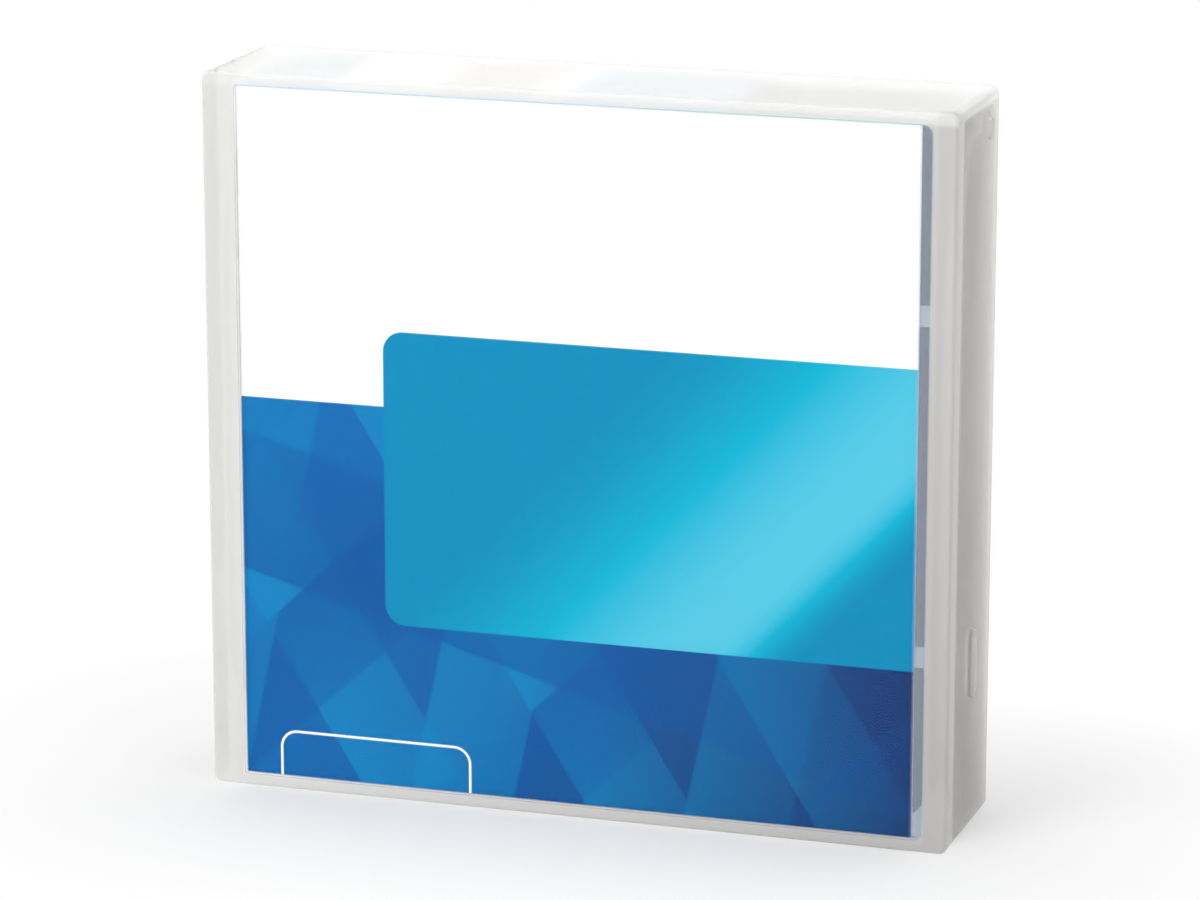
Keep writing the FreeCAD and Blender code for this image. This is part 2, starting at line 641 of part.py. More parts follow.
def across_corner(shape):
    """A copy moved from the middle to the rear corner on the door's side, and turned across it."""
    reach = (FLANGE_RADIUS + CHIP_PAST_REEL) / math.sqrt(2)
    copy = turned(shape, -45)
    copy.translate(Vector(-reach, -reach, 0))
    return copy


def lower_shell():
    """Floor and lower walls, with the hub opening, screw bosses, door rail and pin cup."""
    shape = shell_half(0, SPLIT_HEIGHT)
    adds = [ring(HUB_OPENING_RADIUS, HUB_OPENING_RADIUS + OPENING_RIM, SHELL_FLOOR / 2, HUB_LIFT)]
    for x, y in SCREW_PLACES:
        adds.append(rod(x, y, SHELL_FLOOR / 2, BOSS_RADIUS, SPLIT_HEIGHT - SHELL_FLOOR / 2))
    adds.append(door_rail(SHELL_FLOOR, SHELL_FLOOR + DOOR_LAP))
    adds.append(spring_stop(SHELL_FLOOR / 2, SPLIT_HEIGHT))
    adds.append(pin_cup(SHELL_FLOOR, (CART_HEIGHT - LEADER_LENGTH) / 2 + LEADER_END))
    adds += chip_slots(SHELL_FLOOR, SPLIT_HEIGHT - GUARD_DROP)
    adds += reel_guards(SHELL_FLOOR / 2, SPLIT_HEIGHT - GUARD_DROP)
    shape = join([shape] + adds)
    holes = [rod(0, 0, -1, HUB_OPENING_RADIUS, SPLIT_HEIGHT)] + datum_recesses()
    for x, y in SCREW_PLACES:
        holes.append(rod(x, y, -1, SCREW_RADIUS + SCREW_CLEARANCE, SPLIT_HEIGHT + 2))
        holes.append(rod(x, y, -1, SCREW_HEAD_RADIUS + SCREW_HEAD_GAP, 1 + SCREW_RECESS + SCREW_HEAD_HEIGHT))
    return shape.cut(holes)


def cross_post(half, rib, z0, z1):
    """A post with a cross-shaped section."""
    return join([box(-half, half, -rib / 2, rib / 2, z0, z1), box(-rib / 2, rib / 2, -half, half, z0, z1)])


def upper_shell():
    """Ceiling and upper walls, with the brake's post, screw bosses, door rail and pin cup."""
    shape = shell_half(SPLIT_HEIGHT, CART_HEIGHT)
    inside_roof = CART_HEIGHT - SHELL_FLOOR / 2
    adds = [cross_post(POST_REACH, POST_RIB, BRAKE_TOP + BRAKE_LIFT + RUNNING_GAP, inside_roof)]
    for x, y in SCREW_PLACES:
        adds.append(rod(x, y, SPLIT_HEIGHT, BOSS_RADIUS, inside_roof - SPLIT_HEIGHT))
    adds.append(door_rail(CEILING - DOOR_LAP, CEILING))
    adds.append(spring_stop(SPLIT_HEIGHT, inside_roof))
    adds.append(pin_cup((CART_HEIGHT + LEADER_LENGTH) / 2 - LEADER_END, CEILING))
    adds.append(ring(SPRING_SEAT_RADIUS, SPRING_SEAT_RADIUS + SEAT_WALL, CEILING - SEAT_DEPTH, inside_roof))
    shape = join([shape] + adds)
    tip = SCREW_RECESS + SCREW_HEAD_HEIGHT + SCREW_LENGTH + RUNNING_GAP
    holes = [rod(x, y, SPLIT_HEIGHT - 1, SCREW_RADIUS, tip - SPLIT_HEIGHT + 1) for x, y in SCREW_PLACES]
    holes += top_marks()
    return shape.cut(holes)


def shell_screws():
    """The case screws, driven from the underside, as separate solids."""
    screws = []
    for x, y in SCREW_PLACES:
        head = rod(x, y, SCREW_RECESS, SCREW_HEAD_RADIUS, SCREW_HEAD_HEIGHT)
        shank = rod(x, y, SCREW_RECESS + SCREW_HEAD_HEIGHT, SCREW_RADIUS - SCREW_CLEARANCE / 2, SCREW_LENGTH)
        cross = cross_post(SCREW_CROSS, SCREW_CROSS_SLOT, 0, SCREW_RECESS + SCREW_HEAD_HEIGHT / 2)
        cross.translate(Vector(x, y, 0))
        screws.append(join([head, shank]).cut(cross))
    return Part.makeCompound(screws)


# ---- reel ----
def wedge_tooth(inner, outer, root_z, tip_z):
    """One flat-sided tooth on the X axis that narrows from its root to its tip."""
    taper = TOOTH_SLOPE * abs(tip_z - root_z)
    root = tooth_outline(inner, outer, 0, root_z)
    tip = tooth_outline(inner, outer, taper, tip_z)
    return Part.makeLoft([root, tip], True, True)


def tooth_outline(inner, outer, taper, z):
    """The four-cornered section of a tooth at one height."""
    spread = math.tan(math.pi / TEETH * TOOTH_ROOT)
    corners = [(inner, -1), (outer, -1), (outer, 1), (inner, 1)]
    points = [Vector(r, side * (r * spread - taper), z) for r, side in corners]
    return Part.makePolygon(points + [points[0]])


def legs_at(radius, z0, z1):
    """The three leg places of the release pad."""
    return [turned(rod(LEG_CIRCLE, 0, z0, radius, z1 - z0), n * 360 / LEGS) for n in range(LEGS)]


def reel_hub():
    """Hub, lower flange, driving teeth below and brake teeth inside, as one moulding."""
    barrel = ring(HUB_BORE_RADIUS, HUB_RADIUS, HUB_LIFT, HUB_TOP)
    floor = ring(PLATE_BORE, HUB_RADIUS, HUB_LIFT, HUB_FLOOR_TOP)
    flange = ring(HUB_BORE_RADIUS, FLANGE_RADIUS, FLANGE_TOP - FLANGE_THICKNESS, FLANGE_TOP)
    body = join([barrel, floor, flange])
    holes = legs_at(LEG_RADIUS + LEG_HOLE_GAP, HUB_LIFT - 1, HUB_FLOOR_TOP + 1)
    plate_bed = rod(0, 0, HUB_LIFT - 1, PLATE_RADIUS + PLATE_FIT, 1 + PLATE_THICKNESS / 2)
    body = body.cut(holes + [plate_bed])
    drive = wedge_tooth(DRIVE_TOOTH_IN, DRIVE_TOOTH_OUT, HUB_LIFT + TOOTH_SINK,
                        HUB_LIFT - DRIVE_TOOTH_HEIGHT)
    stop = wedge_tooth(STOP_TOOTH_IN, STOP_TOOTH_OUT, HUB_FLOOR_TOP - TOOTH_SINK,
                       HUB_FLOOR_TOP + STOP_TOOTH_HEIGHT)
    teeth = []
    for n in range(TEETH):
        angle = n * 360 / TEETH
        if not leg_near(angle):
            teeth.append(turned(drive, angle))
        teeth.append(turned(stop, angle))
    return body.fuse(teeth)


def leg_near(angle):
    """Whether a driving tooth at this angle would stand in a leg's way."""
    spacing = 360 / LEGS
    offset = (angle + spacing / 2) % spacing - spacing / 2
    reach = math.degrees((LEG_RADIUS + 3 * LEG_HOLE_GAP) / LEG_CIRCLE)
    return abs(offset) < reach


def reel_flange():
    """The upper flange, welded on the hub, with three windows that show how much tape is left."""
    disc = ring(HUB_BORE_RADIUS, FLANGE_RADIUS, HUB_TOP, HUB_TOP + FLANGE_THICKNESS)
    z0 = HUB_TOP - 1
    height = FLANGE_THICKNESS + 2
    wide = sector(FLANGE_RADIUS - WINDOW_RIM, z0, height, WINDOW_SWEEP)
    window = wide.cut(rod(0, 0, z0 - 1, HUB_RADIUS + WINDOW_FROM_HUB, height + 2))
    return disc.cut([turned(window, n * 360 / WINDOWS - WINDOW_SWEEP / 2) for n in range(WINDOWS)])


def drive_plate():
    """The steel plate under the hub's floor that a drive's magnet holds."""
    z0 = HUB_LIFT - PLATE_THICKNESS / 2
    plate = ring(PLATE_BORE, PLATE_RADIUS, z0, z0 + PLATE_THICKNESS)
    rims = [e for e in plate.Edges if near(e.BoundBox.ZMax, z0) and e.BoundBox.XLength > PLATE_RADIUS]
    return plate.makeChamfer(PLATE_CHAMFER, rims)


def free_end_line():
    """Where the tape leaves the pack, and the leader pin that it runs to."""
    reach = PACK_RADIUS + RUNNING_GAP + TAPE_THICKNESS / 2
    distance = math.hypot(LEADER_X, LEADER_Y)
    to_pin = math.atan2(LEADER_Y, LEADER_X)
    angle = to_pin - math.acos(reach / distance)
    return Vector(reach * math.cos(angle), reach * math.sin(angle), 0), Vector(LEADER_X, LEADER_Y, 0)


def along_free_end(near_pin, half_width, z0, z1):
    """A flat strip on the free end's line, that stops short of the pin's axis by near_pin."""
    start, end = free_end_line()
    along = (end - start).normalize()
    across = Vector(-along.y, along.x, 0) * half_width
    last = end - along * near_pin
    lift = Vector(0, 0, z0)
    points = [start - across + lift, last - across + lift, last + across + lift, start + across + lift]
    return extrude(points, Vector(0, 0, z1 - z0))


def tape_pack():
    """The wound tape, its turns as one ring."""
    return ring(HUB_RADIUS + TOUCH, PACK_RADIUS, PACK_BOTTOM, PACK_TOP)


def tape_free_end():
    """The last stretch of tape, from the pack to the leader pin."""
    return along_free_end(LEADER_RADIUS + TOUCH, TAPE_THICKNESS / 2, PACK_BOTTOM, PACK_TOP)


# ---- brake ----
def brake_button():
    """Non-turning disc with teeth below and a boss with a cross-shaped socket above."""
    disc = rod(0, 0, BRAKE_BOTTOM, STOP_TOOTH_OUT - TOOTH_SIDE_GAP / 2, BRAKE_THICKNESS)
    boss = rod(0, 0, BRAKE_TOP, BRAKE_BOSS_RADIUS, BRAKE_BOSS_HEIGHT)
    nose = Part.makeCone(NOSE_TIP_RADIUS, NOSE_RADIUS, RUNNING_GAP, Vector(0, 0, PAD_TOP))
    socket = cross_post(POST_REACH + SOCKET_GAP, POST_RIB + 2 * SOCKET_GAP, BRAKE_TOP,
                        BRAKE_TOP + BRAKE_BOSS_HEIGHT + 1)
    body = join([disc, boss, nose]).cut(socket)
    stop = wedge_tooth(STOP_TOOTH_IN + TOOTH_SIDE_GAP, STOP_TOOTH_OUT - TOOTH_SIDE_GAP,
                       BRAKE_BOTTOM + TOOTH_SINK, HUB_FLOOR_TOP + TOOTH_CLEARANCE)
    teeth = [turned(stop, (n + 0.5) * 360 / TEETH) for n in range(TEETH)]
    return body.fuse(teeth)


def coil(radius, wire, turns, z0, z1):
    """A coil spring along Z between two heights of its wire's centre line, in flat facets."""
    steps = round(turns * COIL_STEPS)
    rings = []
    for n in range(steps + 1):
        angle = 2 * math.pi * n / COIL_STEPS
        outward = Vector(math.cos(angle), math.sin(angle), 0)
        centre = outward * radius + Vector(0, 0, z0 + (z1 - z0) * n / steps)
        corners = []
        for k in range(WIRE_SIDES):
            around = 2 * math.pi * (k + 0.5) / WIRE_SIDES
            offset = outward * math.cos(around) + Vector(0, 0, 1) * math.sin(around)
            corners.append(centre + offset * (wire / 2))
        rings.append(corners)
    faces = [flat_face(rings[0]), flat_face(rings[-1])]
    for ring_a, ring_b in zip(rings, rings[1:]):
        for k in range(WIRE_SIDES):
            after = (k + 1) % WIRE_SIDES
            faces.append(flat_face([ring_a[k], ring_a[after], ring_b[after]]))
            faces.append(flat_face([ring_a[k], ring_b[after], ring_b[k]]))
    solid = Part.Solid(Part.makeShell(faces))
    solid.fix(1e-6, 1e-6, 1e-6)
    return solid


def flat_face(corners):
    """A flat face on a closed polygon."""
    return Part.Face(Part.makePolygon(corners + [corners[0]]))


def brake_spring():
    """The coil spring that pushes the brake on."""
    low = BRAKE_TOP + SPRING_WIRE / 2
    high = CEILING - SPRING_WIRE / 2
    return coil(SPRING_RADIUS, SPRING_WIRE, SPRING_COILS, low, high)


def release_pad():
    """A spider whose three legs reach down through the hub's floor to a drive's clutch."""
    centre = rod(0, 0, PAD_BOTTOM, PAD_RADIUS, PAD_THICKNESS)
    arms = []
    for n in range(LEGS):
        arm = box(0, LEG_CIRCLE, -LEG_RADIUS, LEG_RADIUS, PAD_BOTTOM, PAD_TOP)
        tip = rod(LEG_CIRCLE, 0, PAD_BOTTOM, LEG_RADIUS, PAD_THICKNESS)
        arms += [turned(arm, n * 360 / LEGS), turned(tip, n * 360 / LEGS)]
    legs = legs_at(LEG_RADIUS, HUB_LIFT - DRIVE_TOOTH_HEIGHT / 2, PAD_TOP)
    return join([centre] + arms + legs)


# ---- leader pin, door and small parts ----
def leader_pin():
    """A turned pin with a disc at each end."""
    z0 = (CART_HEIGHT - LEADER_LENGTH) / 2
    z1 = z0 + LEADER_LENGTH
    shank = rod(LEADER_X, LEADER_Y, z0, LEADER_RADIUS, LEADER_LENGTH)
    low = rod(LEADER_X, LEADER_Y, z0, LEADER_END_RADIUS, LEADER_END)
    high = rod(LEADER_X, LEADER_Y, z1 - LEADER_END, LEADER_END_RADIUS, LEADER_END)
    return join([shank, low, high])


def leader_clip():
    """The moulded sleeve that snaps over the pin and traps the tape's end in its mouth."""
    z0 = PACK_BOTTOM + CLIP_END_GAP
    z1 = PACK_TOP - CLIP_END_GAP
    outer = rod(LEADER_X, LEADER_Y, z0, LEADER_RADIUS + CLIP_WALL, z1 - z0)
    hole = rod(LEADER_X, LEADER_Y, z0 - 1, LEADER_RADIUS, z1 - z0 + 2)
    mouth = along_free_end(0, CLIP_MOUTH, z0 - 1, z1 + 1)
    return outer.cut([hole, mouth])


def pin_springs():
    """Two bent wires, one in each shell, that hold the leader pin's end discs in their cups."""
    springs = []
    z_low = (CART_HEIGHT - LEADER_LENGTH) / 2 + LEADER_END / 2
    x = LEADER_X - PIN_WIRE_CORNER
    y = LEADER_Y - LEADER_END_RADIUS - PIN_WIRE_RADIUS - TOUCH
    for z in (z_low, CART_HEIGHT - z_low):
        arm = rod(x, y, z, PIN_WIRE_RADIUS, PIN_WIRE_ARM, Vector(1, 0, 0))
        leg = rod(x, y, z, PIN_WIRE_RADIUS, PIN_WIRE_LEG, Vector(0, 1, 0))
        springs.append(join([arm, leg]))
    return Part.makeCompound(springs)


def access_door():
    """The sliding door, with a tail that its spring pushes on and a lip that a drive pulls."""
    z0 = SHELL_FLOOR + RUNNING_GAP
    z1 = CEILING - RUNNING_GAP
    plate = box(DOOR_END_X - DOOR_LENGTH, DOOR_END_X, DOOR_Y, DOOR_Y + DOOR_THICKNESS, z0, z1)
    lip_x = DOOR_END_X - DOOR_LAP - LIP_FROM_EDGE
    lip_z = (z0 + z1 - LIP_HEIGHT) / 2
    lip = box(lip_x, lip_x + LIP_THICKNESS, DOOR_Y - SHELL_WALL, DOOR_Y, lip_z, lip_z + LIP_HEIGHT)
    return join([plate, lip])


def door_spring():
    """The coil spring behind the door, which pushes it shut against its stop."""
    spring = coil(DOOR_SPRING_RADIUS, DOOR_SPRING_WIRE, DOOR_SPRING_COILS, DOOR_SPRING_WIRE / 2,
                  DOOR_SPRING_LENGTH - DOOR_SPRING_WIRE / 2)
    spring.rotate(Vector(0, 0, 0), Vector(0, 1, 0), 90)
    spring.translate(Vector(DOOR_SPRING_END, DOOR_Y + DOOR_SPRING_RADIUS, SPLIT_HEIGHT))
    return spring


def write_protect_tab():
    """The slider in the rear edge: a finger piece in the window and a wider foot behind the wall."""
    x = -END_X
    y0 = TAB_Y - TAB_WINDOW_LENGTH / 2 + RUNNING_GAP
    y1 = y0 + TAB_SLIDER_LENGTH
    middle = (y0 + y1) / 2
    half = TAB_WINDOW_HEIGHT / 2
    low = SPLIT_HEIGHT - half
    high = SPLIT_HEIGHT + half
    foot_x = x + SHELL_WALL + RUNNING_GAP
    face = box(x + RUNNING_GAP, foot_x, y0, y1, low + RUNNING_GAP, high - RUNNING_GAP)
    ridge = box(x, x + 2 * RUNNING_GAP, middle - TAB_RIDGE / 2, middle + TAB_RIDGE / 2,
                low + TAB_RIDGE, high - TAB_RIDGE)
    foot = box(foot_x, foot_x + TAB_FOOT_THICKNESS, y0, y1 + TAB_FOOT, low - TAB_FOOT, high + TAB_FOOT)
    return join([face, ridge, foot])


def memory_chip():
    """The contactless memory board, stood across the rear corner."""
    z0 = SHELL_FLOOR
    return across_corner(box(-CHIP_LENGTH / 2, CHIP_LENGTH / 2, -CHIP_THICKNESS / 2, CHIP_THICKNESS / 2,
                             z0, z0 + CHIP_WIDTH))


CASE_PIECES = (case_base, case_lid, insert_card)
CARTRIDGE_PIECES = (
    lower_shell,
    upper_shell,
    shell_screws,
    reel_hub,
    reel_flange,
    drive_plate,
    tape_pack,
    tape_free_end,
    brake_button,
    brake_spring,
    release_pad,
    leader_pin,
    leader_clip,
    pin_springs,
    access_door,
    door_spring,
    write_protect_tab,
    memory_chip,
)


def main():
    """Write every piece to its own file."""
    os.makedirs("parts", exist_ok=True)
    for make in CASE_PIECES:
        make().exportStep("parts/" + make.__name__ + ".step")
    for make in CARTRIDGE_PIECES:
        seat(make()).exportStep("parts/" + make.__name__ + ".step")


main()
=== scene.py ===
"""Looks of the data tape cartridge in its hinged, see-through storage case."""
import math

import bpy
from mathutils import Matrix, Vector


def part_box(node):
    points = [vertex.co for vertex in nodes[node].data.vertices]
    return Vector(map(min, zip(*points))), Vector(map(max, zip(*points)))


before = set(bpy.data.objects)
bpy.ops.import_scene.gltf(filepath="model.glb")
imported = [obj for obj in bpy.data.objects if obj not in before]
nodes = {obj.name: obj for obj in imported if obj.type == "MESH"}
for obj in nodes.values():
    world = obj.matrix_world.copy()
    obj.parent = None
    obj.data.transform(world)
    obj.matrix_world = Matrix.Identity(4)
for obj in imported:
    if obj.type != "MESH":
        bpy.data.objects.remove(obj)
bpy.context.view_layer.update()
MM = 0.001

# ---- camera: where the object is seen from ----
CAMERA_PLACE = Vector((233.2, -719.8, 246.0)) * MM
CAMERA_YAW = math.radians(17.92)
CAMERA_PITCH = math.radians(14.17)
SENSOR = 36.0
LENS = 153.3

camera = bpy.data.cameras.new("camera")
camera.sensor_width = SENSOR
camera.lens = LENS
camera.clip_start = 0.01
camera_object = bpy.data.objects.new("camera", camera)
camera_object.location = CAMERA_PLACE
camera_object.rotation_euler = (math.pi / 2 - CAMERA_PITCH, 0, CAMERA_YAW)
bpy.context.scene.collection.objects.link(camera_object)
bpy.context.scene.camera = camera_object
bpy.context.scene.view_settings.view_transform = "Standard"


# ---- small node tools ----
NOISE_SPAN = (0.3, 0.7)         # the part of a noise's range that is carried to a value's range


class Graph:
    """A material's node tree, with short calls for the nodes it is made of."""

    def __init__(self, name):
        self.material = bpy.data.materials.new(name)
        self.material.use_nodes = True
        self.tree = self.material.node_tree
        self.tree.nodes.clear()
        self.output = self.node("ShaderNodeOutputMaterial")
        texture = self.node("ShaderNodeTexCoord")
        self.place = texture.outputs["Object"]
        self.facing = texture.outputs["Normal"]

    def node(self, kind):
        return self.tree.nodes.new(kind)

    def put(self, socket, value):
        """Set a socket to a number or colour, or link it."""
        if isinstance(value, bpy.types.NodeSocket):
            self.tree.links.new(value, socket)
        elif isinstance(value, (tuple, list)) and len(value) == 3 and socket.type == "RGBA":
            socket.default_value = (*value, 1.0)
        else:
            socket.default_value = value

    def math(self, operation, a, b=None):
        node = self.node("ShaderNodeMath")
        node.operation = operation
        self.put(node.inputs[0], a)
        if b is not None:
            self.put(node.inputs[1], b)
        return node.outputs[0]

    def add(self, a, b):
        return self.math("ADD", a, b)

    def sub(self, a, b):
        return self.math("SUBTRACT", a, b)

    def mul(self, a, b):
        return self.math("MULTIPLY", a, b)

    def low(self, a, b):
        return self.math("MINIMUM", a, b)

    def high(self, a, b):
        return self.math("MAXIMUM", a, b)

    def axes(self):
        """The point's x, y and z in millimetres."""
        split = self.node("ShaderNodeSeparateXYZ")
        self.put(split.inputs[0], self.place)
        return [self.mul(split.outputs[n], 1 / MM) for n in range(3)]

    def step(self, value, edge, width=0.05):
        """0 below the edge and 1 above it, with a soft edge of the given width."""
        ramp = self.node("ShaderNodeMapRange")
        self.put(ramp.inputs["Value"], value)
        self.put(ramp.inputs["From Min"], edge - width)
        self.put(ramp.inputs["From Max"], edge + width)
        return ramp.outputs["Result"]

    def spread(self, value, start, end, low, high, smooth=False):
        """A number carried from one range to another, held at its ends."""
        ramp = self.node("ShaderNodeMapRange")
        if smooth:
            ramp.interpolation_type = "SMOOTHSTEP"
        self.put(ramp.inputs["Value"], value)
        self.put(ramp.inputs["From Min"], start)
        self.put(ramp.inputs["From Max"], end)
        self.put(ramp.inputs["To Min"], low)
        self.put(ramp.inputs["To Max"], high)
        return ramp.outputs["Result"]

    def mix(self, share, a, b):
        node = self.node("ShaderNodeMix")
        node.data_type = "RGBA"
        self.put(node.inputs["Factor"], share)
        self.put(node.inputs["A"], a)
        self.put(node.inputs["B"], b)
        return node.outputs["Result"]

    def blend(self, share, a, b):
        """A number between a and b."""
        node = self.node("ShaderNodeMix")
        node.data_type = "FLOAT"
        self.put(node.inputs[0], share)
        self.put(node.inputs[2], a)
        self.put(node.inputs[3], b)
        return node.outputs[0]

    def window(self, x, z, left, right, bottom, top, radius):
        """0 inside a rounded window and 1 outside it."""
        centre = ((left + right) / 2, (bottom + top) / 2)
        half = ((right - left) / 2, (top - bottom) / 2)
        return self.step(rounded_box_distance(self, x, z, centre, half, radius), 0.0, 0.15)

    def noise(self, scale, detail=3.0, stretch=None):
        """Noise from 0 to 1, its scale in cells to the millimetre."""
        place = self.place
        if stretch:
            mapping = self.node("ShaderNodeMapping")
            self.put(mapping.inputs["Vector"], self.place)
            mapping.inputs["Scale"].default_value = stretch
            place = mapping.outputs[0]
        node = self.node("ShaderNodeTexNoise")
        self.put(node.inputs["Vector"], place)
        node.inputs["Scale"].default_value = scale / MM
        node.inputs["Detail"].default_value = detail
        return node.outputs["Fac"]

    def bump(self, height, depth, strength=1.0):
        """A normal from a height of 0 to 1, depth in millimetres."""
        node = self.node("ShaderNodeBump")
        node.inputs["Strength"].default_value = strength
        node.inputs["Distance"].default_value = depth * MM
        self.put(node.inputs["Height"], height)
        return node.outputs[0]

    def surface(self, **sockets):
        """A Principled shader with the given sockets, joined to the output."""
        shader = self.node("ShaderNodeBsdfPrincipled")
        for name, value in sockets.items():
            self.put(shader.inputs[name.replace("_", " ")], value)
        self.put(self.output.inputs[0], shader.outputs[0])
        return shader


def dress(node, material):
    """Give a CAD node its material."""
    mesh = nodes[node].data
    mesh.materials.clear()
    mesh.materials.append(material)


def rounded_box_distance(g, a, b, centre, half, radius):
    """Signed distance to a rounded rectangle on two coordinates, in millimetres."""
    qa = g.add(g.math("ABSOLUTE", g.sub(a, centre[0])), radius - half[0])
    qb = g.add(g.math("ABSOLUTE", g.sub(b, centre[1])), radius - half[1])
    outside_a = g.high(qa, 0.0)
    outside_b = g.high(qb, 0.0)
    outside = g.math("SQRT", g.add(g.mul(outside_a, outside_a), g.mul(outside_b, outside_b)))
    inside = g.low(g.high(qa, qb), 0.0)
    return g.sub(g.add(outside, inside), radius)


# ---- sizes read from the frame, in millimetres ----
def limits(node):
    """A node's lowest and highest corners, in millimetres."""
    low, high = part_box(node)
    return [v / MM for v in low], [v / MM for v in high]


LID_LOW, LID_HIGH = limits("case_lid")
CARD_LOW, CARD_HIGH = limits("insert_card")
PACK_LOW, PACK_HIGH = limits("tape_pack")
REEL_X = (PACK_LOW[0] + PACK_HIGH[0]) / 2
REEL_Z = (PACK_LOW[2] + PACK_HIGH[2]) / 2

RAIL_INSET = 3.75               # the lid's thick corners, from its sides
FOLD_RADIUS = 0.6
CARD_TOP = CARD_HIGH[2] - FOLD_RADIUS
WINDOW_RIGHT = LID_HIGH[0] - RAIL_INSET
WINDOW_CORNER = 1.5
CARD_CORNER = 0.3

# ---- the case's plastic ----
PLASTIC_IOR = 1.15              # low: the case shows next to no reflections
CARD_SHINE = 0.05
CLEAR_THROUGH = 1.0
HAZY_THROUGH = 0.78
THICK_THROUGH = 0.27            # the lid's thick corners
WALL_THROUGH = (0.76, 0.86)
WALL_FLOW = 0.05                # cells to the millimetre of the walls' uneven cloudiness
BAND_THROUGH = 0.25             # the band above the card
TOP_THROUGH = 0.55              # the spine
SHADOW_TINT = (0.95, 0.95, 0.95)
EDGE_RADIUS = 0.6               # rounding of the case's outer edges
RAIL_DEPTH = 4.0                # thick corners, from the front
PAINTED_SHADE_HEIGHT = 90.0               # height over which the painted shade on the plastic's right side eases off; darkest at the bottom
CASE_ROUGH = (0.05, 0.11)
CLOUD_ROUGH = 0.13              # how much rougher the cloudy parts are

# ---- colours, linear ----
PAPER_WHITE = (0.94, 0.94, 0.94)
PANEL_TEAL = (0.0, 0.243, 0.465)
PANEL_CYAN = (0.0, 0.41, 0.614)
PANEL_LIGHT = (0.081, 0.53, 0.707)
FIELD_BLUE = (0.003, 0.135, 0.42)
FIELD_NAVY = (0.010, 0.028, 0.12)
FACET_LIGHT = (0.003, 0.225, 0.51)
FACET_DARK = (0.002, 0.085, 0.33)
MILKY = (0.93, 0.925, 0.905)
# painted shade: greyer copies of the milky plastic for its right side, dimmest at the bottom, where less
# light falls
MILKY_SHADED_RIGHT = (0.79, 0.78, 0.76)
MILKY_SHADED_LOW = (0.66, 0.65, 0.64)
PALE = (0.975, 0.975, 0.965)    # the plastic above the card
HAZE = (0.73, 0.79, 0.89)
GLASS = (0.985, 0.985, 0.985)
FOLD_BLUE = (0.42, 0.66, 0.87)
FOLD_TEAL = (0.20, 0.60, 0.62)
CARD_PLAIN = (0.80, 0.80, 0.78)  # the card's unprinted side
CARD_FIBRE = (0.70, 0.70, 0.68)
TAPE_DARK = (0.020, 0.016, 0.015)
TAPE_LIGHT = (0.050, 0.042, 0.038)
BOARD_DARK = (0.012, 0.12, 0.05)
BOARD_LIGHT = (0.02, 0.18, 0.08)
FLOOR_DARK = (0.96, 0.96, 0.96)
FLOOR_LIGHT = (0.98, 0.98, 0.98)

# ---- printed fields on the flap, millimetres from its left end, and their colours ----
FLAP_FIELDS = (
    (1.5, 16.0, (0.36, 0.46, 0.58)),
    (31.0, 47.0, (0.55, 0.50, 0.42)),
    (52.0, 77.8, (0.32, 0.44, 0.58)),
)

# ---- printed layout on the card, millimetres from the card's left edge and bottom ----
PANEL_LEFT = 23.2
PANEL_BOTTOM = 25.9
PANEL_TOP = 72.1
PANEL_CORNER = 3.2
FIELD_TOP = 60.3
FACETS = (                      # slanted bands: degrees, pitch, where a band starts, strength and tone
    (32, 31.0, 0.52, 0.80, FACET_LIGHT),
    (-47, 37.0, 0.58, 0.70, FACET_DARK),
    (-12, 43.0, 0.62, 0.65, FACET_LIGHT),
    (74, 53.0, 0.60, 0.65, FACET_DARK),
)
SHEEN_TURN = math.radians(44)   # the panel's slanted sheen
SHEEN_RISE = (-3.0, 33.0)
SHEEN_FALL = (36.3, 46.3)
SHEEN_KNEE = 0.6                # how far up the sheen turns from cyan to light
FRAME_LEFT = 5.8
FRAME_RIGHT = 36.8
FRAME_TOP = 7.2
FRAME_CORNER = 2.6
FRAME_LINE = 0.20
FOLD_LINE = 0.25                # coloured line along the fold, below the bend
FOLD_TEAL_FROM = 64.0
PAST_CARD = 20.0                # how far the panel's shape runs past the card's right edge
BELOW_CARD = 12.0               # how far the small frame's shape runs past its bottom
FIELD_SLANT = 0.25              # how far the field's shading leans
FIELD_FALL = 1.15               # power by which it darkens across
FADE_FROM = 0.4                 # share of the width from which the facets fade
FADE_TO = 0.15                  # their strength at the right edge
FACET_EDGE = 0.004
FACET_TAPER = 0.9               # how much a facet weakens across its band
FLAP_EDGE = 0.3                 # softness of the flap's fields, millimetres
FIBRE_SHARE = 0.25
CARD_ROUGH = (0.50, 0.62)
FACING = 0.5                    # share of a side's direction from which it counts as facing that way
FLAP_BAND = 1.0                 # millimetres below the card's top that count as the flap


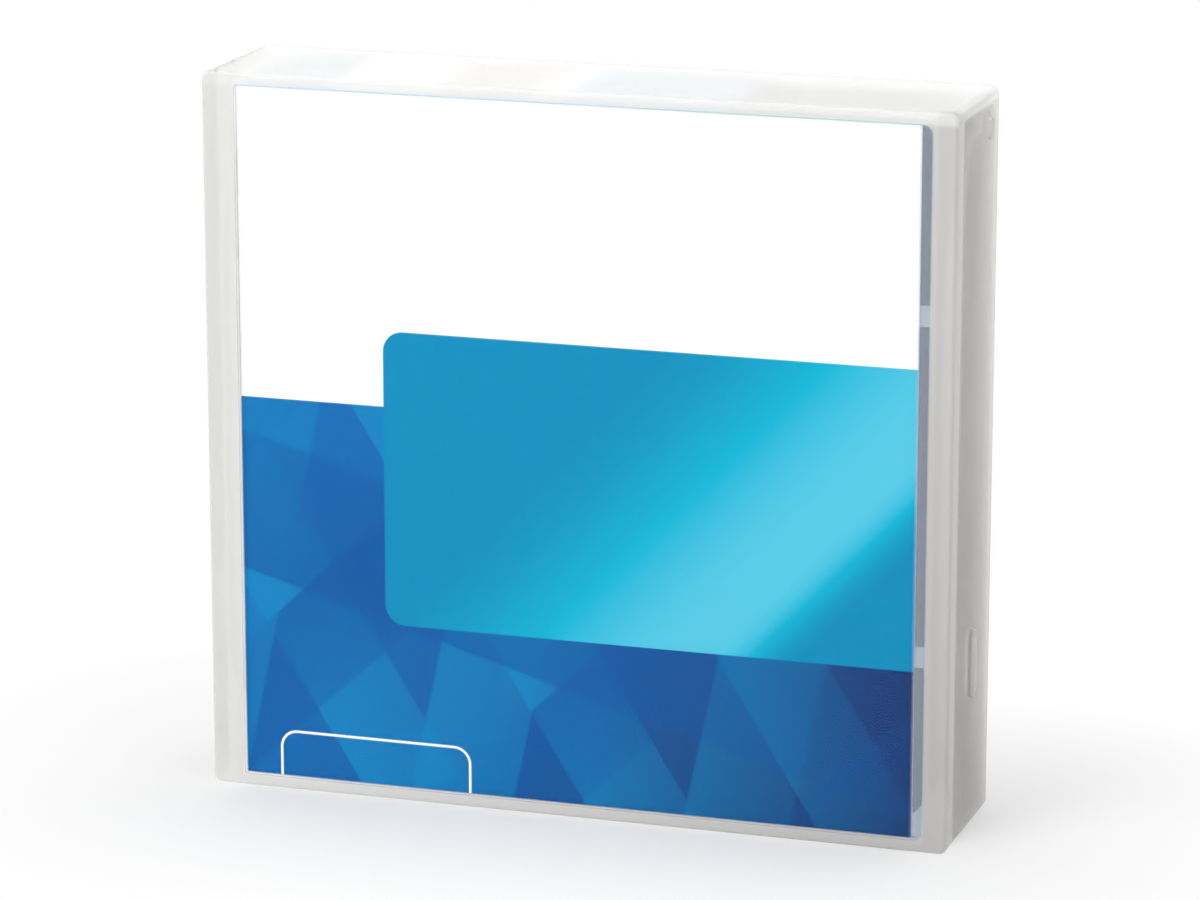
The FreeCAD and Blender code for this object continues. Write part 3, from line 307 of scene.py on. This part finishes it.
def card_print(g):
    """The card's front: white above, a blue field of generic facets below and a teal panel."""
    x, _, z = g.axes()
    x = g.sub(x, CARD_LOW[0])
    z = g.sub(z, CARD_LOW[2])
    width = CARD_HIGH[0] - CARD_LOW[0]
    across = g.spread(g.sub(x, g.mul(z, FIELD_SLANT)), 0, width, 0, 1)
    field = g.mix(g.math("POWER", across, FIELD_FALL), FIELD_BLUE, FIELD_NAVY)
    fade = g.spread(x, width * FADE_FROM, width, 1.0, FADE_TO)
    for angle, pitch, share, strength, tone in FACETS:
        turn = math.radians(angle)
        along = g.add(g.mul(x, math.cos(turn)), g.mul(z, math.sin(turn)))
        phase = g.math("FRACT", g.mul(along, 1 / pitch))
        taper = g.sub(1.0, g.mul(g.sub(phase, share), FACET_TAPER))
        facet = g.mul(g.step(phase, share, FACET_EDGE), taper)
        field = g.mix(g.mul(g.mul(facet, strength), fade), field, tone)
    paper = g.mix(g.step(z, FIELD_TOP), field, PAPER_WHITE)
    slant = g.sub(g.mul(x, math.cos(SHEEN_TURN)), g.mul(z, math.sin(SHEEN_TURN)))
    rise = g.spread(slant, *SHEEN_RISE, 0, 1, smooth=True)
    fall = g.spread(slant, *SHEEN_FALL, 1, 0, smooth=True)
    sheen = g.low(rise, fall)
    panel = g.mix(g.spread(sheen, 0, SHEEN_KNEE, 0, 1), PANEL_TEAL, PANEL_CYAN)
    panel = g.mix(g.spread(sheen, SHEEN_KNEE, 1, 0, 1), panel, PANEL_LIGHT)
    right = width + PAST_CARD
    centre = ((PANEL_LEFT + right) / 2, (PANEL_BOTTOM + PANEL_TOP) / 2)
    half = ((right - PANEL_LEFT) / 2, (PANEL_TOP - PANEL_BOTTOM) / 2)
    outside = g.step(rounded_box_distance(g, x, z, centre, half, PANEL_CORNER), 0.0)
    printed = g.mix(outside, panel, paper)
    centre = ((FRAME_LEFT + FRAME_RIGHT) / 2, (FRAME_TOP - BELOW_CARD) / 2)
    half = ((FRAME_RIGHT - FRAME_LEFT) / 2, (FRAME_TOP + BELOW_CARD) / 2)
    edge = g.math("ABSOLUTE", rounded_box_distance(g, x, z, centre, half, FRAME_CORNER))
    printed = g.mix(g.step(edge, FRAME_LINE), PAPER_WHITE, printed)
    fold = g.mix(g.step(x, FOLD_TEAL_FROM, 1.0), FOLD_BLUE, FOLD_TEAL)
    return g.mix(g.step(z, CARD_TOP - CARD_LOW[2] - FOLD_LINE), printed, fold)


def flap_print(g):
    """The flap under the spine: white with wide pale fields."""
    x = g.sub(g.axes()[0], CARD_LOW[0])
    colour = PAPER_WHITE
    for start, end, tone in FLAP_FIELDS:
        field = g.mul(g.step(x, start, FLAP_EDGE), g.sub(1.0, g.step(x, end, FLAP_EDGE)))
        colour = g.mix(field, colour, tone)
    return colour


def card_material():
    """Coated card, printed on its outer side and plain inside."""
    g = Graph("printed_card")
    z = g.axes()[2]
    split = g.node("ShaderNodeSeparateXYZ")
    g.put(split.inputs[0], g.facing)
    front = g.step(g.mul(split.outputs[1], -1.0), FACING, 0.1)
    on_flap = g.mul(g.step(split.outputs[2], FACING, 0.1), g.step(z, CARD_HIGH[2] - FLAP_BAND, 0.1))
    fibre = g.noise(1.2, 4.0)
    plain = g.mix(g.mul(fibre, FIBRE_SHARE), CARD_PLAIN, CARD_FIBRE)
    colour = g.mix(front, plain, card_print(g))
    colour = g.mix(on_flap, colour, flap_print(g))
    rough = g.spread(g.noise(0.6, 2.0), *NOISE_SPAN, *CARD_ROUGH)
    shader = g.surface(Base_Color=colour, Roughness=rough, Normal=g.bump(g.noise(3.0), 0.01, 0.4))
    shader.inputs["Specular IOR Level"].default_value = CARD_SHINE
    return g.material


def case_material():
    """Milky moulding: clear over the card, a little hazy over the strip beside it, cloudy elsewhere;
    painted shade greys it toward the lower right.
    """
    g = Graph("case_plastic")
    x, y, z = g.axes()
    behind_panel = g.step(y, CARD_LOW[1] + 0.1, 0.1)
    off_card = g.window(x, z, CARD_LOW[0], CARD_HIGH[0], CARD_LOW[2], CARD_TOP, CARD_CORNER)
    off_window = g.window(x, z, CARD_LOW[0], WINDOW_RIGHT, CARD_LOW[2], CARD_TOP, WINDOW_CORNER)
    off_window = g.mul(off_window, off_card)
    haze = g.high(off_card, behind_panel)
    cloud = g.high(off_window, behind_panel)
    wall = g.step(y, LID_LOW[1] + RAIL_DEPTH, 0.8)
    flow = g.noise(WALL_FLOW, 3.0, stretch=(1, 1, 0.35))
    cloudy = g.blend(wall, THICK_THROUGH, g.spread(flow, *NOISE_SPAN, *WALL_THROUGH))
    above = g.step(z, CARD_TOP, 0.3)
    half_width = (LID_HIGH[0] - LID_LOW[0]) / 2
    spine = g.step(y, LID_LOW[1] + EDGE_RADIUS, 0.3)
    cloudy = g.blend(above, cloudy, g.blend(spine, BAND_THROUGH, TOP_THROUGH))
    through = g.blend(haze, CLEAR_THROUGH, HAZY_THROUGH)
    through = g.blend(cloud, through, cloudy)
    # painted shade: the plastic turns greyer from left to right, and on the right toward the bottom,
    # standing in for light from the upper left
    painted_shade = g.mix(g.spread(z, 0.0, PAINTED_SHADE_HEIGHT, 0, 1), MILKY_SHADED_LOW, MILKY_SHADED_RIGHT)
    milky = g.mix(g.spread(x, -half_width, half_width, 0, 1), MILKY, painted_shade)
    milky = g.mix(above, milky, PALE)
    colour = g.mix(cloud, g.mix(haze, GLASS, HAZE), milky)
    rough = g.spread(g.noise(0.12, 4.0), *NOISE_SPAN, *CASE_ROUGH)
    rough = g.add(g.mul(cloud, CLOUD_ROUGH), rough)
    shader = g.surface(Base_Color=colour, Roughness=rough, Transmission_Weight=through,
                       Normal=g.bump(g.noise(0.15, 3.0), 0.05, 0.12))
    shader.inputs["IOR"].default_value = PLASTIC_IOR
    clear_shadow = g.node("ShaderNodeBsdfTransparent")
    clear_shadow.inputs[0].default_value = (*SHADOW_TINT, 1.0)
    lamp_ray = g.node("ShaderNodeLightPath").outputs["Is Shadow Ray"]
    pick = g.node("ShaderNodeMixShader")
    g.put(pick.inputs[0], lamp_ray)
    g.put(pick.inputs[1], shader.outputs[0])
    g.put(pick.inputs[2], clear_shadow.outputs[0])
    g.put(g.output.inputs[0], pick.outputs[0])
    return g.material


GRAIN = 2.5                     # cells to the millimetre of moulded plastic's grain
GRAIN_DEPTH = 0.03              # millimetres
GRAIN_SHARE = 0.6               # the grain's part in the roughness; the tone has the rest
MARK_DARK = 0.88                # the darker tone of steel's working marks
RING_SCALE = 3.0                # rings to the millimetre of wound tape


def moulded(name, colour, rough=(0.38, 0.55), spread=0.12):
    """Opaque moulded plastic with a fine spark-eroded grain and a little tone variation."""
    g = Graph(name)
    tone = g.noise(0.08, 3.0)
    lighter = tuple(min(1.0, c * (1 + spread) + 0.003) for c in colour)
    darker = tuple(c * (1 - spread) for c in colour)
    texture = g.noise(GRAIN, 2.0)
    uneven = g.add(g.mul(texture, GRAIN_SHARE), g.mul(tone, 1 - GRAIN_SHARE))
    roughness = g.spread(uneven, *NOISE_SPAN, *rough)
    g.surface(Base_Color=g.mix(tone, darker, lighter), Roughness=roughness,
              Normal=g.bump(texture, GRAIN_DEPTH, 0.5))
    return g.material


def metal(name, colour, rough=(0.2, 0.35)):
    """Bare steel with fine working marks."""
    g = Graph(name)
    marks = g.noise(0.6, 4.0)
    darker = tuple(c * MARK_DARK for c in colour)
    g.surface(Base_Color=g.mix(marks, darker, colour), Metallic=1.0,
              Roughness=g.spread(marks, *NOISE_SPAN, *rough), Normal=g.bump(marks, 0.01, 0.1))
    return g.material


def tape_material():
    """Dark coated film: its wound edges show as fine rings about the reel's axis."""
    g = Graph("tape")
    x, _, z = g.axes()
    dx = g.sub(x, REEL_X)
    dz = g.sub(z, REEL_Z)
    radius = g.math("SQRT", g.add(g.mul(dx, dx), g.mul(dz, dz)))
    turns = g.node("ShaderNodeTexNoise")
    turns.noise_dimensions = "1D"
    g.put(turns.inputs["W"], radius)
    turns.inputs["Scale"].default_value = RING_SCALE
    turns.inputs["Detail"].default_value = 4.0
    rings = turns.outputs["Fac"]
    g.surface(Base_Color=g.mix(rings, TAPE_DARK, TAPE_LIGHT),
              Roughness=g.spread(rings, *NOISE_SPAN, 0.18, 0.34), Normal=g.bump(rings, 0.04, 0.5))
    return g.material


def board_material():
    """Green lacquered board."""
    g = Graph("chip_board")
    speck = g.noise(0.8, 2.0)
    g.surface(Base_Color=g.mix(speck, BOARD_DARK, BOARD_LIGHT),
              Roughness=g.spread(speck, *NOISE_SPAN, 0.22, 0.34))
    return g.material


def dress_all():
    """Every CAD node's material."""
    case = case_material()
    black = moulded("black_plastic", (0.020, 0.021, 0.024))
    white = moulded("white_plastic", (0.74, 0.74, 0.71), rough=(0.35, 0.5), spread=0.04)
    steel = metal("plate_steel", (0.62, 0.62, 0.61))
    wire = metal("spring_steel", (0.50, 0.50, 0.51), rough=(0.22, 0.34))
    tape = tape_material()
    looks = {
        "case_base": case,
        "case_lid": case,
        "insert_card": card_material(),
        "lower_shell": black,
        "upper_shell": black,
        "shell_screws": metal("screw_steel", (0.40, 0.40, 0.42), rough=(0.3, 0.45)),
        "reel_hub": white,
        "reel_flange": white,
        "drive_plate": steel,
        "tape_pack": tape,
        "tape_free_end": tape,
        "brake_button": white,
        "brake_spring": wire,
        "release_pad": white,
        "leader_pin": steel,
        "leader_clip": white,
        "pin_springs": wire,
        "access_door": moulded("grey_plastic", (0.055, 0.06, 0.066)),
        "door_spring": wire,
        "write_protect_tab": moulded("red_plastic", (0.45, 0.03, 0.02)),
        "memory_chip": board_material(),
    }
    for node, material in looks.items():
        dress(node, material)


# ---- stage ----
FLOOR_HALF = 3.0
SURROUND = 0.5                  # how strongly the surround lights the object
WHITE_REACH = 55.0              # millimetres from the object's foot to where the floor is seen as white
WHITE_AT_FOOT = 0.3             # how far it is white at the foot
LAMP_TARGET = (0, 0, 0.056)     # metres
LAMPS = (                       # name, place in metres, size in metres, power in watts
    ("key", (-0.55, -0.75, 0.75), 0.6, 4.55),
    ("fill", (0.9, -0.35, 0.45), 0.7, 1.2),
    ("top", (0.05, 0.25, 0.95), 0.6, 2.4),
)


def world_light():
    """An even pale surround, white where the camera or glass sees it."""
    world = bpy.data.worlds.new("surround")
    bpy.context.scene.world = world
    world.use_nodes = True
    tree = world.node_tree
    tree.nodes.clear()
    output = tree.nodes.new("ShaderNodeOutputWorld")
    lit = tree.nodes.new("ShaderNodeBackground")
    lit.inputs[0].default_value = (1.0, 1.0, 1.0, 1.0)
    lit.inputs[1].default_value = SURROUND
    seen = tree.nodes.new("ShaderNodeBackground")
    seen.inputs[0].default_value = (1.0, 1.0, 1.0, 1.0)
    seen.inputs[1].default_value = 1.0
    path = tree.nodes.new("ShaderNodeLightPath")
    either = tree.nodes.new("ShaderNodeMath")
    either.operation = "MAXIMUM"
    again = tree.nodes.new("ShaderNodeMath")
    again.operation = "MAXIMUM"
    tree.links.new(path.outputs["Is Camera Ray"], either.inputs[0])
    tree.links.new(path.outputs["Is Glossy Ray"], either.inputs[1])
    tree.links.new(either.outputs[0], again.inputs[0])
    tree.links.new(path.outputs["Is Transmission Ray"], again.inputs[1])
    pick = tree.nodes.new("ShaderNodeMixShader")
    tree.links.new(again.outputs[0], pick.inputs[0])
    tree.links.new(lit.outputs[0], pick.inputs[1])
    tree.links.new(seen.outputs[0], pick.inputs[2])
    tree.links.new(pick.outputs[0], output.inputs[0])


def lamp(name, place, target, size, power):
    """A square softbox that looks at a point; places in metres."""
    light = bpy.data.lights.new(name, "AREA")
    light.size = size
    light.energy = power
    ob = bpy.data.objects.new(name, light)
    ob.location = place
    ob.rotation_euler = (Vector(target) - Vector(place)).to_track_quat("-Z", "Y").to_euler()
    bpy.context.scene.collection.objects.link(ob)


def floor():
    """A plain pale floor: it keeps the object's soft shadow near by, and is seen as white further off."""
    mesh = bpy.data.meshes.new("floor")
    corners = [(-FLOOR_HALF, -FLOOR_HALF, 0), (FLOOR_HALF, -FLOOR_HALF, 0),
               (FLOOR_HALF, FLOOR_HALF, 0), (-FLOOR_HALF, FLOOR_HALF, 0)]
    mesh.from_pydata(corners, [], [(0, 1, 2, 3)])
    ob = bpy.data.objects.new("floor", mesh)
    bpy.context.scene.collection.objects.link(ob)
    g = Graph("floor")
    x, y, _ = g.axes()
    foot = (LID_HIGH[0], LID_HIGH[1])
    distance = rounded_box_distance(g, x, y, (0, 0), foot, 0.0)
    far = g.spread(distance, 0.0, WHITE_REACH, WHITE_AT_FOOT, 1.0)
    shade = g.noise(0.002, 2.0)
    shader = g.surface(Base_Color=g.mix(shade, FLOOR_DARK, FLOOR_LIGHT), Roughness=0.9)
    shader.inputs["Specular IOR Level"].default_value = 0.0
    white = g.node("ShaderNodeEmission")
    path = g.node("ShaderNodeLightPath")
    seen = g.high(path.outputs["Is Camera Ray"], path.outputs["Is Glossy Ray"])
    seen = g.high(seen, path.outputs["Is Transmission Ray"])
    pick = g.node("ShaderNodeMixShader")
    g.put(pick.inputs[0], g.mul(seen, far))
    g.put(pick.inputs[1], shader.outputs[0])
    g.put(pick.inputs[2], white.outputs[0])
    g.put(g.output.inputs[0], pick.outputs[0])
    mesh.materials.append(g.material)


dress_all()
world_light()
for name, place, size, power in LAMPS:
    lamp(name, place, LAMP_TARGET, size, power)
floor()
